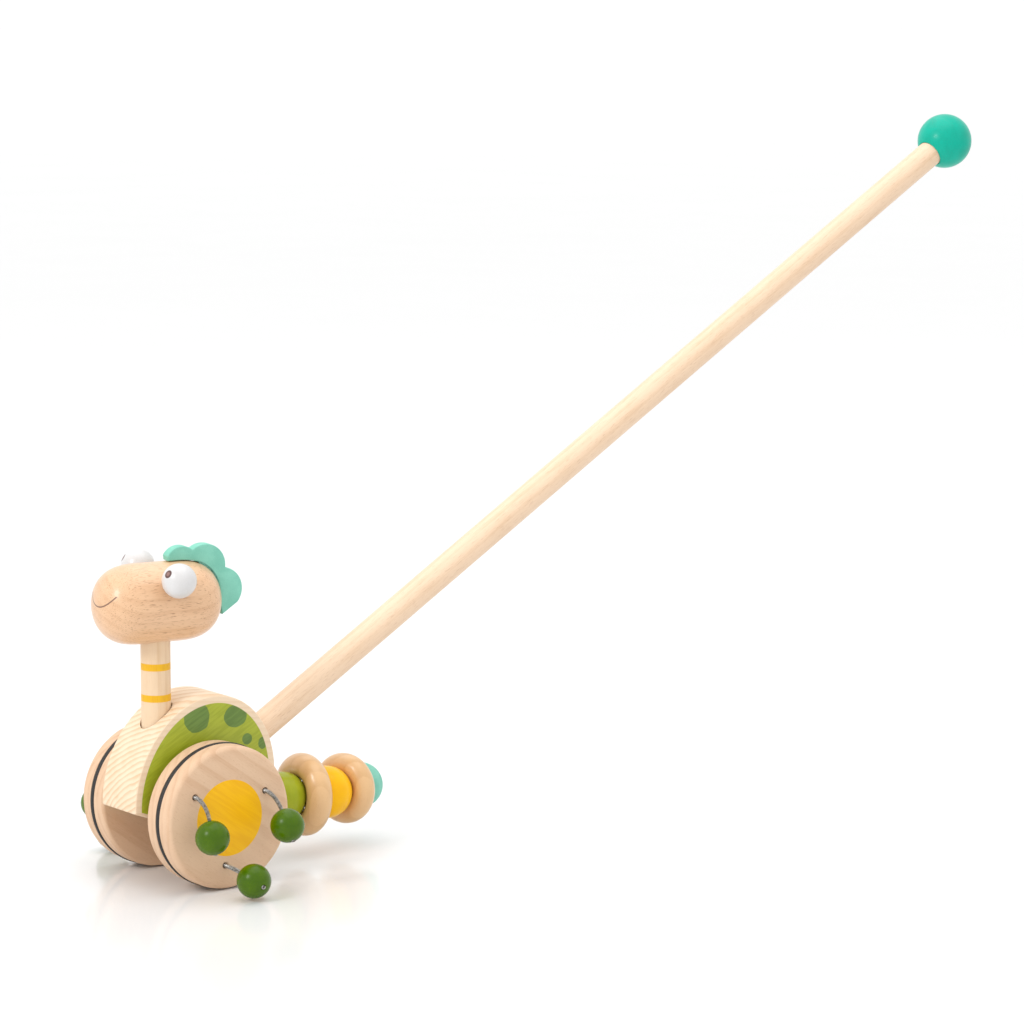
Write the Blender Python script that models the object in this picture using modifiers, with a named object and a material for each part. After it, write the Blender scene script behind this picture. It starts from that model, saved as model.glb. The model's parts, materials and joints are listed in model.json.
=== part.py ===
"""A wooden dinosaur push-along toy on a long rod.

Lengths are in metres. The toy is laid out from the point of the floor under the middle of its axle:
it faces -Y, its left side is +X, and the rod rises to the back, towards +Y. The last step moves
everything along Y, so that the origin is under the middle of the whole toy.
"""

import math

import bmesh
import bpy
from mathutils import Vector

GAP = 0.0003  # left between pieces that touch
FLARE_START = 0.25  # share of a bead's radius where its hole begins to open out

# Driving dimensions
AXLE_HEIGHT = 0.040  # the wheel's radius over its rubber ring
WHEEL_RADIUS = 0.0395
WHEEL_THICKNESS = 0.022
WHEEL_INNER_FACE = 0.0223  # distance from the middle of the toy
BODY_HALF_WIDTH = 0.0170
BODY_MIDDLE = (0.0027, 0.0098)  # centre of its arch, from the axle, along Y and Z
BODY_HALF_LENGTH = 0.0447
BODY_HALF_HEIGHT = 0.0533
BODY_LEAN = math.radians(20)  # the arch leans back
BODY_BASE_DROP = 0.0224  # its flat underside lies this far below the arch's centre
AXLE_RADIUS = 0.003
ROD_RADIUS = 0.008
ROD_RISE = math.radians(30.7)
ROD_REACH = 0.6338  # from the rod's start point to the knob's centre
ROD_START = (0.02395, 0.0206)  # a point on the rod's axis, from the axle, along Y and Z
KNOB_RADIUS = 0.0168
KNOB_SEAT = 0.35 * KNOB_RADIUS  # the rod ends this far short of the knob's centre
NECK_RADIUS = 0.0082
NECK_FORWARD = 0.0181  # the neck stands this far ahead of the axle
HEAD_HEIGHT = 0.1148  # its middle, above the axle
HEAD_RADIUS = 0.0231
HEAD_HALF_LENGTH = 0.0362
HEAD_BEHIND_NECK = 0.001
HEAD_YAW = math.radians(-9.2)  # looks a little to its right
EYE_RADIUS = 0.0095
EYE_PLACE = (0.0282, 0.0023, 0.0158)  # from the neck's axis, at the head's middle height
LEG_CIRCLE = 0.0263  # radius on which the leg springs leave the wheel
LEG_FREE_LENGTH = 0.0183
LEG_BALL_RADIUS = 0.0094
SPRING_RADIUS = 0.0012
TAIL_HEIGHT = -0.0041  # the tail's line, from the axle, where it leaves the body
TAIL_FALL = math.radians(3)
TAIL_TURN = math.radians(17)  # its rear half bends to the toy's right, in the yellow bead

# Angle of each leg's hole round the axle, from +Y towards +Z, and how far its spring bends down
LEGS = {
    "front": (math.radians(147.1), {"left": math.radians(73), "right": math.radians(90)}),
    "rear": (math.radians(27.1), {"left": math.radians(54), "right": math.radians(54)}),
    "lower": (math.radians(-96.5), {"left": math.radians(10), "right": math.radians(10)}),
}
SIDES = {"left": 1, "right": -1}


def clear_scene():
    for obj in list(bpy.data.objects):
        bpy.data.objects.remove(obj, do_unlink=True)


def make_collection(name):
    collection = bpy.data.collections.new(name)
    bpy.context.scene.collection.children.link(collection)
    return collection


def make_material(name, color, roughness, metallic=0.0):
    material = bpy.data.materials.new(name)
    material.use_nodes = True
    shader = material.node_tree.nodes["Principled BSDF"]
    shader.inputs["Base Color"].default_value = (*color, 1.0)
    shader.inputs["Roughness"].default_value = roughness
    shader.inputs["Metallic"].default_value = metallic
    return material


clear_scene()
toy = make_collection("dinosaur_push_toy")
cutters = make_collection("cutters")

PINE = make_material("pine", (0.86, 0.66, 0.43), 0.55)
BEECH = make_material("beech", (0.78, 0.53, 0.33), 0.5)
LACQUERED_BEECH = make_material("lacquered_beech", (0.74, 0.47, 0.20), 0.3)
DARK_GREEN = make_material("dark_green_paint", (0.06, 0.20, 0.02), 0.3)
LIME = make_material("lime_paint", (0.40, 0.50, 0.03), 0.3)
YELLOW = make_material("yellow_paint", (0.95, 0.52, 0.01), 0.3)
MINT = make_material("mint_paint", (0.27, 0.68, 0.53), 0.5)
TEAL = make_material("teal_paint", (0.01, 0.42, 0.33), 0.25)
WHITE = make_material("white_paint", (0.85, 0.86, 0.87), 0.3)
RUBBER = make_material("black_rubber", (0.03, 0.03, 0.03), 0.7)
STEEL = make_material("spring_steel", (0.55, 0.55, 0.55), 0.35, 1.0)


def place(obj, material, parent, location=(0, 0, 0), rotation=(0, 0, 0), collection=toy):
    """Puts a new object in its collection, under its pivot, with its place given from that pivot."""
    for old in list(obj.users_collection):
        old.objects.unlink(obj)
    collection.objects.link(obj)
    obj.parent = parent
    obj.location = location
    obj.rotation_euler = rotation
    if material:
        obj.data.materials.append(material)
    return obj


def pivot(name, parent=None, location=(0, 0, 0), rotation=(0, 0, 0)):
    return place(bpy.data.objects.new(name, None), None, parent, location, rotation)


def as_cutter(obj):
    obj.hide_render = True
    obj.display_type = "WIRE"
    return obj


def arc(center, radius, start, end, count):
    """Points (radius, height) round a centre, from one angle to another in degrees."""
    points = []
    for i in range(count + 1):
        angle = math.radians(start + (end - start) * i / count)
        points.append((center[0] + radius * math.cos(angle), center[1] + radius * math.sin(angle)))
    return points


def turned(name, profile, material, parent, location=(0, 0, 0), rotation=(0, 0, 0), steps=32, ring=False):
    """A profile of (radius, height) points, top to bottom on its outer side, turned round local Z."""
    mesh = bpy.data.meshes.new(name)
    edges = [(i, i + 1) for i in range(len(profile) - 1)]
    if ring:
        edges.append((len(profile) - 1, 0))
    mesh.from_pydata([(r, 0, h) for r, h in profile], edges, [])
    obj = place(bpy.data.objects.new(name, mesh), material, parent, location, rotation)
    screw = obj.modifiers.new("turn", "SCREW")
    screw.steps = screw.render_steps = steps
    screw.use_merge_vertices = True
    screw.merge_threshold = 0.00001
    screw.use_smooth_shade = True
    return obj


def cylinder(name, start, end, radius, material, parent, sides=24, collection=toy):
    """A round bar between two points given from its parent's pivot."""
    start, end = Vector(start), Vector(end)
    mesh = bpy.data.meshes.new(name)
    shape = bmesh.new()
    bmesh.ops.create_cone(
        shape,
        cap_ends=True,
        segments=sides,
        radius1=radius,
        radius2=radius,
        depth=(end - start).length,
    )
    shape.to_mesh(mesh)
    shape.free()
    mesh.shade_smooth()
    mesh.set_sharp_from_angle(angle=math.radians(40))
    turn = (end - start).to_track_quat("Z", "Y").to_euler()
    return place(
        bpy.data.objects.new(name, mesh), material, parent, (start + end) / 2, turn, collection
    )


def box_cutter(name, low, high, parent):
    mesh = bpy.data.meshes.new(name)
    shape = bmesh.new()
    bmesh.ops.create_cube(shape, size=1)
    size = Vector(high) - Vector(low)
    bmesh.ops.scale(shape, vec=size, verts=shape.verts)
    shape.to_mesh(mesh)
    shape.free()
    middle = (Vector(low) + Vector(high)) / 2
    return as_cutter(
        place(bpy.data.objects.new(name, mesh), None, parent, middle, collection=cutters)
    )


def round_cutter(name, start, end, radius, parent, sides=24):
    return as_cutter(cylinder(name, start, end, radius, None, parent, sides, cutters))


def cut(obj, cutter):
    modifier = obj.modifiers.new(cutter.name, "BOOLEAN")
    modifier.operation = "DIFFERENCE"
    modifier.solver = "EXACT"
    modifier.object = cutter


def flat_piece(name, outline, thickness, material, parent, location=(0, 0, 0)):
    """A closed outline of (along Y, along Z) points, as thick as given along X, made a mesh."""
    curve = bpy.data.curves.new(name, "CURVE")
    curve.dimensions = "2D"
    curve.fill_mode = "BOTH"
    curve.extrude = thickness / 2
    spline = curve.splines.new("POLY")
    spline.points.add(len(outline) - 1)
    for point, (y, z) in zip(spline.points, outline):
        point.co = (y, z, 0, 1)
    spline.use_cyclic_u = True
    upright = (math.radians(90), 0, math.radians(90))
    drawn = place(bpy.data.objects.new(name + "_outline", curve), None, parent, location, upright)
    bpy.context.view_layer.update()
    mesh = bpy.data.meshes.new_from_object(drawn.evaluated_get(bpy.context.evaluated_depsgraph_get()))
    bpy.data.objects.remove(drawn)
    shape = bmesh.new()
    shape.from_mesh(mesh)
    bmesh.ops.remove_doubles(shape, verts=shape.verts, dist=0.000005)
    bmesh.ops.dissolve_limit(
        shape, angle_limit=math.radians(1), verts=shape.verts, edges=shape.edges
    )
    bmesh.ops.recalc_face_normals(shape, faces=shape.faces)
    shape.to_mesh(mesh)
    shape.free()
    mesh.name = name
    return place(bpy.data.objects.new(name, mesh), material, parent, location, upright)


def round_edges(obj, width, segments=2):
    bevel = obj.modifiers.new("soft_edges", "BEVEL")
    bevel.width = width
    bevel.segments = segments
    bevel.limit_method = "ANGLE"
    bevel.angle_limit = math.radians(50)
    obj.data.shade_smooth()
    obj.data.set_sharp_from_angle(angle=math.radians(50))


def spring_bar(name, points, radius, material, parent):
    """A close-wound spring as a plain bent bar through the points."""
    curve = bpy.data.curves.new(name, "CURVE")
    curve.dimensions = "3D"
    curve.bevel_depth = radius
    curve.bevel_resolution = 2
    curve.use_fill_caps = True
    spline = curve.splines.new("POLY")
    spline.points.add(len(points) - 1)
    for point, place_of in zip(spline.points, points):
        point.co = (*place_of, 1)
    return place(bpy.data.objects.new(name, curve), material, parent)


def drilled_ball(radius, bore, flare_top=0.0, flare_bottom=0.0, rings=8):
    """Profile of a ball with a hole right through, which may open out towards either end."""
    top_hole, bottom_hole = bore + flare_top, bore + flare_bottom
    top = math.degrees(math.acos(top_hole / radius))
    bottom = -math.degrees(math.acos(bottom_hole / radius))
    profile = arc((0, 0), radius, top, bottom, rings)
    if flare_bottom:
        profile.append((bore, -radius * FLARE_START))
    if flare_top:
        profile.append((bore, radius * FLARE_START))
    return profile


# The body

base = pivot("toy_base")
frame = pivot("axle_frame", base, (0, 0, AXLE_HEIGHT))  # everything is laid out from the axle

AXLE_PLAY = GAP
CAM_RADIUS = 0.021
CAM_OFFSET = 0.004
CAM_THICKNESS = 0.008
SLOT_PLAY = 0.0015
CAM_SLOT_RADIUS = CAM_RADIUS + CAM_OFFSET + SLOT_PLAY
NECK_PLAY = 0.0007
FOOT_RADIUS = 0.0105
FOOT_THICKNESS = 0.004
FOOT_PLAY = 0.0006
BOB_STROKE = 0.008
ROD_SOCKET = 0.031  # how far from the axle the rod's blind hole starts
TAIL_SOCKET = 0.0205  # depth of the tail spring's blind hole, from its bend
BLOCK_EDGE = 0.0012
CUT_PAST = 0.06  # cutters run this far past the body
TAIL_PIVOT_Y = 0.0468  # the tail's spring bends here, just behind the body
TAIL_BEND = 0.0010  # half the distance between its two bending points
TAIL_SPRING_RADIUS = 0.0022


def body_point(angle):
    """A point of the leaning ellipse that the arch follows."""
    along, up = BODY_HALF_LENGTH * math.cos(angle), BODY_HALF_HEIGHT * math.sin(angle)
    middle_y, middle_z = BODY_MIDDLE
    return (
        middle_y + along * math.cos(BODY_LEAN) + up * math.sin(BODY_LEAN),
        middle_z - along * math.sin(BODY_LEAN) + up * math.cos(BODY_LEAN),
    )


def body_outline(count=44):
    """The ellipse down to the flat underside, from the rear corner over the top to the front one."""
    dip = math.asin(BODY_BASE_DROP / BODY_HALF_HEIGHT)
    start, end = -dip, math.pi + dip
    return [body_point(start + (end - start) * i / count) for i in range(count + 1)]


def neck_foot_underside():
    """Height at which the foot clears the cam at its highest, where the foot comes nearest the axle."""
    nearest = NECK_FORWARD - FOOT_RADIUS
    return math.sqrt((CAM_RADIUS + CAM_OFFSET) ** 2 - nearest**2) + GAP


FOOT_UNDERSIDE = neck_foot_underside()
FOOT_TOP = FOOT_UNDERSIDE + FOOT_THICKNESS


def rod_point(distance):
    """A point on the rod's axis, from the axle, at a distance along it from its start point."""
    return Vector((
        0,
        ROD_START[0] + distance * math.cos(ROD_RISE),
        ROD_START[1] + distance * math.sin(ROD_RISE),
    ))


def tail_point(distance):
    """A point on the tail's line, at a distance behind the place where its spring bends."""
    return Vector((
        0,
        TAIL_PIVOT_Y + distance * math.cos(TAIL_FALL),
        TAIL_HEIGHT - distance * math.sin(TAIL_FALL),
    ))


def make_body():
    block = flat_piece("body_block", body_outline(), 2 * BODY_HALF_WIDTH, PINE, frame)
    round_edges(block, BLOCK_EDGE)
    reach = CUT_PAST
    slot = CAM_THICKNESS / 2 + SLOT_PLAY
    cut(block, round_cutter("axle_hole", (-reach, 0, 0), (reach, 0, 0), AXLE_RADIUS + AXLE_PLAY, frame))
    cut(block, round_cutter("cam_slot", (-slot, 0, 0), (slot, 0, 0), CAM_SLOT_RADIUS, frame, 48))
    cut(block, box_cutter(
        "cam_slot_mouth", (-slot, -CAM_SLOT_RADIUS, -reach), (slot, CAM_SLOT_RADIUS, 0), frame
    ))
    roof = FOOT_TOP + BOB_STROKE + GAP
    cut(block, round_cutter(
        "neck_chamber",
        (0, -NECK_FORWARD, -reach),
        (0, -NECK_FORWARD, roof),
        FOOT_RADIUS + FOOT_PLAY,
        frame,
    ))
    cut(block, round_cutter(
        "neck_hole",
        (0, -NECK_FORWARD, roof - 0.005),
        (0, -NECK_FORWARD, roof + reach),
        NECK_RADIUS + NECK_PLAY,
        frame,
        32,
    ))
    socket = ROD_SOCKET - math.hypot(*ROD_START)
    cut(block, round_cutter(
        "rod_hole", rod_point(socket), rod_point(socket + reach), ROD_RADIUS + GAP, frame, 32
    ))
    cut(block, round_cutter(
        "tail_hole", tail_point(-TAIL_SOCKET), tail_point(TAIL_SOCKET), TAIL_SPRING_RADIUS + GAP, frame, 16
    ))


def make_rod_and_knob():
    socket = ROD_SOCKET - math.hypot(*ROD_START) + GAP
    end = ROD_REACH - KNOB_SEAT
    cylinder("push_rod", rod_point(socket), rod_point(end), ROD_RADIUS, BEECH, frame, 32)
    hole = ROD_RADIUS + GAP
    mouth = math.degrees(math.asin(hole / KNOB_RADIUS))
    profile = arc((0, 0), KNOB_RADIUS, 90, -90 + mouth, 11)
    bottom = GAP - KNOB_SEAT
    profile += [(hole, bottom), (0, bottom)]
    turn = ROD_RISE - math.radians(90)
    turned("knob", profile, TEAL, frame, rod_point(ROD_REACH), (turn, 0, 0), 24)


make_body()
make_rod_and_knob()

# The axle, the lifting cam and the wheels turn together

wheel_axis = pivot("wheel_axis", frame)
AXLE_IN_WHEEL = 0.015
RUBBER_RADIUS = 0.002
RUBBER_CIRCLE = AXLE_HEIGHT - RUBBER_RADIUS
GROOVE_RADIUS = RUBBER_RADIUS + 0.00035
OUTER_EDGE = 0.003
INNER_EDGE = 0.002
HOLE_DEPTH = 0.009
HOLE_RADIUS = 0.0017
SPACER_RADIUS = 0.0075


def wheel_profile():
    """From the middle of the outer face, over the rim with its groove, to the axle's blind hole."""
    half = WHEEL_THICKNESS / 2
    rim = WHEEL_RADIUS
    profile = [(0, half)]
    profile += arc((rim - OUTER_EDGE, half - OUTER_EDGE), OUTER_EDGE, 90, 0, 3)
    rise = math.degrees(math.acos((rim - RUBBER_CIRCLE) / GROOVE_RADIUS))
    profile += arc((RUBBER_CIRCLE, 0), GROOVE_RADIUS, rise, 360 - rise, 6)
    profile += arc((rim - INNER_EDGE, -half + INNER_EDGE), INNER_EDGE, 0, -90, 2)
    hole = AXLE_RADIUS + GAP
    depth = -half + AXLE_IN_WHEEL + GAP
    profile += [(hole, -half), (hole, depth), (0, depth)]
    return profile


def make_axle_and_cam():
    reach = WHEEL_INNER_FACE + AXLE_IN_WHEEL
    cylinder("axle", (-reach, 0, 0), (reach, 0, 0), AXLE_RADIUS, BEECH, wheel_axis, 24)
    half = CAM_THICKNESS / 2
    cam = cylinder(
        "lifting_cam", (-half, 0, CAM_OFFSET), (half, 0, CAM_OFFSET), CAM_RADIUS, BEECH, wheel_axis, 48
    )
    cut(cam, round_cutter("cam_bore", (-reach, 0, 0), (reach, 0, 0), AXLE_RADIUS + GAP, wheel_axis))


def make_wheel(side, sign):
    middle = WHEEL_INNER_FACE + WHEEL_THICKNESS / 2
    upright = (0, sign * math.radians(90), 0)
    wheel = turned(
        f"wheel_{side}", wheel_profile(), BEECH, wheel_axis, (sign * middle, 0, 0), upright, 40
    )
    ring = arc((RUBBER_CIRCLE, 0), RUBBER_RADIUS, 90, -225, 7)
    turned(
        f"tyre_{side}", ring, RUBBER, wheel_axis, (sign * middle, 0, 0), upright, 40, ring=True
    )
    face = WHEEL_INNER_FACE + WHEEL_THICKNESS
    for leg, (angle, _) in LEGS.items():
        y, z = LEG_CIRCLE * math.cos(angle), LEG_CIRCLE * math.sin(angle)
        cut(wheel, round_cutter(
            f"leg_hole_{side}_{leg}",
            (sign * (face - HOLE_DEPTH), y, z),
            (sign * (face + HOLE_DEPTH), y, z),
            HOLE_RADIUS,
            wheel_axis,
            12,
        ))
    room = WHEEL_INNER_FACE - BODY_HALF_WIDTH - 2 * GAP
    washer = [
        (SPACER_RADIUS, room / 2),
        (SPACER_RADIUS, -room / 2),
        (AXLE_RADIUS + GAP, -room / 2),
        (AXLE_RADIUS + GAP, room / 2),
    ]
    place_of = (WHEEL_INNER_FACE + BODY_HALF_WIDTH) / 2
    turned(f"spacer_{side}", washer, BEECH, wheel_axis, (sign * place_of, 0, 0), upright, 24, True)


make_axle_and_cam()
for side_name, side_sign in SIDES.items():
    make_wheel(side_name, side_sign)

# The legs: a bent spring with a ball on it, hinged where the spring leaves the wheel

LEG_PIVOT_OUT = 0.0016  # from the wheel's face
LEG_STEPS = 6


def leg_curve(bend, sign):
    """Points along the spring from its pivot: an arc of even bend, then straight through the ball."""
    points = []
    for i in range(LEG_STEPS + 1):
        angle = bend * i / LEG_STEPS
        radius = LEG_FREE_LENGTH / bend
        out, drop = radius * math.sin(angle), radius * (1 - math.cos(angle))
        points.append(Vector((sign * out, 0, -drop)))
    heading = Vector((sign * math.cos(bend), 0, -math.sin(bend)))
    center = points[-1] + heading * LEG_BALL_RADIUS
    points.append(center + heading * (LEG_BALL_RADIUS - 0.001))
    return [p - Vector((sign * LEG_PIVOT_OUT, 0, 0)) for p in points], center, heading


def make_leg(side, sign, leg, angle, bend):
    face = sign * (WHEEL_INNER_FACE + WHEEL_THICKNESS)
    y, z = LEG_CIRCLE * math.cos(angle), LEG_CIRCLE * math.sin(angle)
    hinge = pivot(
        f"leg_{side}_{leg}_hinge", wheel_axis, (face + sign * LEG_PIVOT_OUT, y, z)
    )
    points, center, heading = leg_curve(bend, sign)
    points[0] = Vector((-sign * SPRING_RADIUS, 0, 0))
    spring_bar(f"leg_spring_{side}_{leg}", points, SPRING_RADIUS, STEEL, hinge)
    ball = turned(
        f"leg_ball_{side}_{leg}",
        drilled_ball(LEG_BALL_RADIUS, SPRING_RADIUS + GAP),
        DARK_GREEN,
        hinge,
        center - Vector((sign * LEG_PIVOT_OUT, 0, 0)),
        steps=16,
        ring=True,
    )
    ball.rotation_euler = heading.to_track_quat("Z", "Y").to_euler()


for side_name, side_sign in SIDES.items():
    for leg_name, (leg_angle, leg_bends) in LEGS.items():
        make_leg(side_name, side_sign, leg_name, leg_angle, leg_bends[side_name])

# The neck and the head lift and turn together

neck_axis = pivot("neck_axis", frame, (0, -NECK_FORWARD, 0))
head_frame = pivot("head_frame", neck_axis, (0, 0, HEAD_HEIGHT), (0, 0, HEAD_YAW))
NECK_IN_HEAD = 0.012
PEG_RADIUS = 0.002
PEG_DEPTH = 0.010  # in the head
EYE_FLAT = 0.45 * EYE_RADIUS  # the peg's seat starts this far from the eye's centre
PEG_IN_EYE = 0.35 * EYE_RADIUS
CREST_THICKNESS = 0.007
HEAD_WAIST = 0.0010
HEAD_FULLNESS = (3.7, 2.1)


def head_radius(along):
    """Radius of the turned head at a distance from its middle: full ends, a slight waist."""
    t = min(abs(along) / HEAD_HALF_LENGTH, 1)
    full, soft = HEAD_FULLNESS
    waist = HEAD_WAIST * math.cos(0.5 * math.pi * t) ** 2
    return HEAD_RADIUS * (1 - t**full) ** (1 / soft) - waist


def make_neck():
    bottom = FOOT_TOP + GAP
    top = HEAD_HEIGHT - HEAD_RADIUS + NECK_IN_HEAD
    cylinder("neck", (0, 0, bottom), (0, 0, top), NECK_RADIUS, PINE, neck_axis, 32)
    cylinder("neck_foot", (0, 0, FOOT_UNDERSIDE), (0, 0, FOOT_TOP), FOOT_RADIUS, BEECH, neck_axis, 32)


def make_head():
    rings = 18
    steps = [math.cos(math.pi * i / rings) for i in range(rings + 1)]
    profile = [(max(head_radius(s * HEAD_HALF_LENGTH), 0.0), s * HEAD_HALF_LENGTH) for s in steps]
    profile[0] = (0.0, HEAD_HALF_LENGTH)
    profile[-1] = (0.0, -HEAD_HALF_LENGTH)
    along_y = (math.radians(-90), 0, 0)
    head = turned("head", profile, BEECH, head_frame, (0, HEAD_BEHIND_NECK, 0), along_y, 28)
    cut(head, round_cutter(
        "neck_socket",
        (0, 0, -2 * HEAD_RADIUS),
        (0, 0, -HEAD_RADIUS + NECK_IN_HEAD + GAP),
        NECK_RADIUS + GAP,
        head_frame,
        32,
    ))
    x, y, z = EYE_PLACE
    for side, sign in SIDES.items():
        center = Vector((sign * x, y, z))
        inward = Vector((-sign * x, 0, -z)).normalized()
        seat = round_cutter(
            f"eye_seat_{side}",
            center + inward * EYE_FLAT,
            center + inward * (EYE_RADIUS + PEG_DEPTH + GAP),
            PEG_RADIUS + GAP,
            head_frame,
            16,
        )
        cut(head, seat)
        make_eye(side, center, inward)


def make_eye(side, center, inward):
    deep = PEG_IN_EYE
    hole = PEG_RADIUS + GAP
    mouth = math.degrees(math.asin(hole / EYE_RADIUS))
    profile = arc((0, 0), EYE_RADIUS, 90, -90 + mouth, 9) + [(hole, -deep), (0, -deep)]
    eye = turned(f"eye_{side}", profile, WHITE, head_frame, center, steps=20)
    eye.rotation_euler = (-inward).to_track_quat("Z", "Y").to_euler()
    cylinder(
        f"eye_peg_{side}",
        center + inward * (deep + GAP),
        center + inward * (EYE_RADIUS + PEG_DEPTH),
        PEG_RADIUS,
        BEECH,
        head_frame,
        16,
    )


# The crest's three lobes: centre behind and above the head's middle, and radius
CREST_LOBES = ((0.0139, 0.0204, 0.0098), (0.0278, 0.0183, 0.0121), (0.0376, 0.0045, 0.0122))
CREST_REACH = 0.9995  # share of the head's length that its inner edge follows
CREST_HEEL = (0.0003, 0.004)  # how its lowest corner is drawn in and down
CREST_EDGE = 0.0006
CREST_FRONT = math.radians(78)
CREST_LAST = math.radians(-4)
CREST_TIP = (0.0376, -0.0096)
CREST_GAP = 0.0004


def lobe_distance(angle):
    """Distance from the head's middle to the outermost lobe, in a direction."""
    farthest = 0.0
    for y, z, radius in CREST_LOBES:
        along = y * math.cos(angle) + z * math.sin(angle)
        inside = radius**2 - (y * y + z * z) + along**2
        if inside > 0:
            farthest = max(farthest, along + math.sqrt(inside))
    return farthest


def head_side_point(along):
    """A point of the head's upper outline just clear of its surface, from the head's middle."""
    step = 0.00001
    slope = (head_radius(along + step) - head_radius(along - step)) / (2 * step)
    normal = Vector((-slope, 1)).normalized()
    return Vector((along, head_radius(along))) + normal * CREST_GAP


def crest_outline():
    outer = []
    count = 30
    for i in range(count + 1):
        angle = CREST_FRONT + (CREST_LAST - CREST_FRONT) * i / count
        reach = lobe_distance(angle)
        outer.append((reach * math.cos(angle), reach * math.sin(angle)))
    inner = []
    ends = 22
    for i in range(ends + 1):
        turn = math.radians(90) * (i / ends)
        along = HEAD_HALF_LENGTH * CREST_REACH * math.sin(turn)
        if along > outer[0][0]:
            inner.append(tuple(head_side_point(along)))
    back = HEAD_HALF_LENGTH + CREST_GAP
    inner.append((back, 0.0))
    inner.append((back - CREST_HEEL[0], -CREST_HEEL[1]))
    return outer + [CREST_TIP] + inner[::-1]


def make_crest():
    crest = flat_piece(
        "crest", crest_outline(), CREST_THICKNESS, MINT, head_frame, (0, HEAD_BEHIND_NECK, 0)
    )
    round_edges(crest, CREST_EDGE, 1)


make_neck()
make_head()
make_crest()

# The tail: beads nested in wooden rings on a spring, which bends behind the body and in the beads

BEAD_BORE = 0.0028
# Each bead: radius, radius of its hole, how far the hole opens out behind and in front, and paint
TAIL_BEADS = {
    "green": (0.0139, BEAD_BORE, 0.0, 0.0, LIME),
    "yellow": (0.0149, 0.0038, 0.0032, 0.0034, YELLOW),
    "mint": (0.0130, BEAD_BORE, 0.0, 0.0, MINT),
}
TAIL_RINGS = {"front": (0.0162, 0.0073), "rear": (0.0136, 0.0066)}  # circle and section radii
SPRING_CLEARANCE = 0.0004
NEST_GAP = 0.0004
FIRST_BEAD = 0.0180  # from the bend to the green bead's centre


def nest(bead_radius, ring):
    """Distance along the tail from a bead's centre to the plane of the ring it nests in."""
    circle, section = ring
    return math.sqrt((bead_radius + section + NEST_GAP) ** 2 - circle**2)


def tail_places():
    """Distances along the tail from its bend to each bead and ring."""
    green, yellow, mint = (bead[0] for bead in TAIL_BEADS.values())
    front = FIRST_BEAD + nest(green, TAIL_RINGS["front"])
    touching = FIRST_BEAD + green + yellow + NEST_GAP
    middle = max(front + nest(yellow, TAIL_RINGS["front"]), touching)
    rear = middle + nest(yellow, TAIL_RINGS["rear"])
    last = rear + nest(mint, TAIL_RINGS["rear"])
    return {"green": FIRST_BEAD, "front": front, "yellow": middle, "rear": rear, "mint": last}


def make_tail():
    places = tail_places()
    lift = pivot("tail_lift_axis", frame, tail_point(-TAIL_BEND))
    wag = pivot("tail_wag_axis", lift, tail_point(TAIL_BEND) - tail_point(-TAIL_BEND))
    middle = tail_point(places["yellow"])
    tip = pivot("tail_tip_axis", wag, middle - tail_point(TAIL_BEND), (0, 0, TAIL_TURN))
    homes = {"green": wag, "front": wag, "yellow": tip, "rear": tip, "mint": tip}
    starts = {wag: tail_point(TAIL_BEND), tip: middle}
    along = (math.radians(-90) - TAIL_FALL, 0, 0)
    for name, (radius, bore, behind, ahead, material) in TAIL_BEADS.items():
        home = homes[name]
        turned(
            f"tail_bead_{name}",
            drilled_ball(radius, bore, behind, ahead, rings=10),
            material,
            home,
            tail_point(places[name]) - starts[home],
            along,
            24,
            ring=True,
        )
    for name, (circle, section) in TAIL_RINGS.items():
        home = homes[name]
        turned(
            f"tail_ring_{name}",
            arc((circle, 0), section, 90, -234, 9),
            LACQUERED_BEECH,
            home,
            tail_point(places[name]) - starts[home],
            along,
            28,
            ring=True,
        )
    make_tail_springs(places, lift, wag, tip, starts)


def make_tail_springs(places, lift, wag, tip, starts):
    """The tail's one spring, in the stretches that move with each part of the tail."""
    radius = TAIL_SPRING_RADIUS
    clear = radius + SPRING_CLEARANCE
    stub = tail_point(-TAIL_BEND - clear)
    cylinder("tail_spring_anchor", tail_point(GAP - TAIL_SOCKET), stub, radius, STEEL, frame, 16)
    link = arc((0, TAIL_BEND), radius, 90, 0, 4) + arc((0, -TAIL_BEND), radius, 0, -90, 4)
    along = (math.radians(-90) - TAIL_FALL, 0, 0)
    middle = tail_point(0) - tail_point(-TAIL_BEND)
    turned("tail_spring_bend", link, STEEL, lift, middle, along, 16)
    begin = tail_point(TAIL_BEND + clear) - starts[wag]
    end = tail_point(places["yellow"] - clear) - starts[wag]
    cylinder("tail_spring_front", begin, end, radius, STEEL, wag, 16)
    far = tail_point(places["mint"] + TAIL_BEADS["mint"][0] - radius / 2) - starts[tip]
    near = tail_point(places["yellow"] + GAP) - starts[tip]
    cylinder("tail_spring_rear", near, far, radius, STEEL, tip, 16)


make_tail()


def centre_on_origin():
    """Moves the toy along Y until the origin is under the middle of its length."""
    bpy.context.view_layer.update()
    graph = bpy.context.evaluated_depsgraph_get()
    lowest, highest = math.inf, -math.inf
    for obj in toy.objects:
        if obj.type == "EMPTY":
            continue
        evaluated = obj.evaluated_get(graph)
        mesh = evaluated.to_mesh()
        places = [(evaluated.matrix_world @ vertex.co).y for vertex in mesh.vertices]
        evaluated.to_mesh_clear()
        lowest, highest = min(lowest, *places), max(highest, *places)
    base.location.y = -(lowest + highest) / 2


centre_on_origin()
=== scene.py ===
import json
import math

import bmesh
import bpy
import numpy as np
from mathutils import Matrix, Vector


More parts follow.
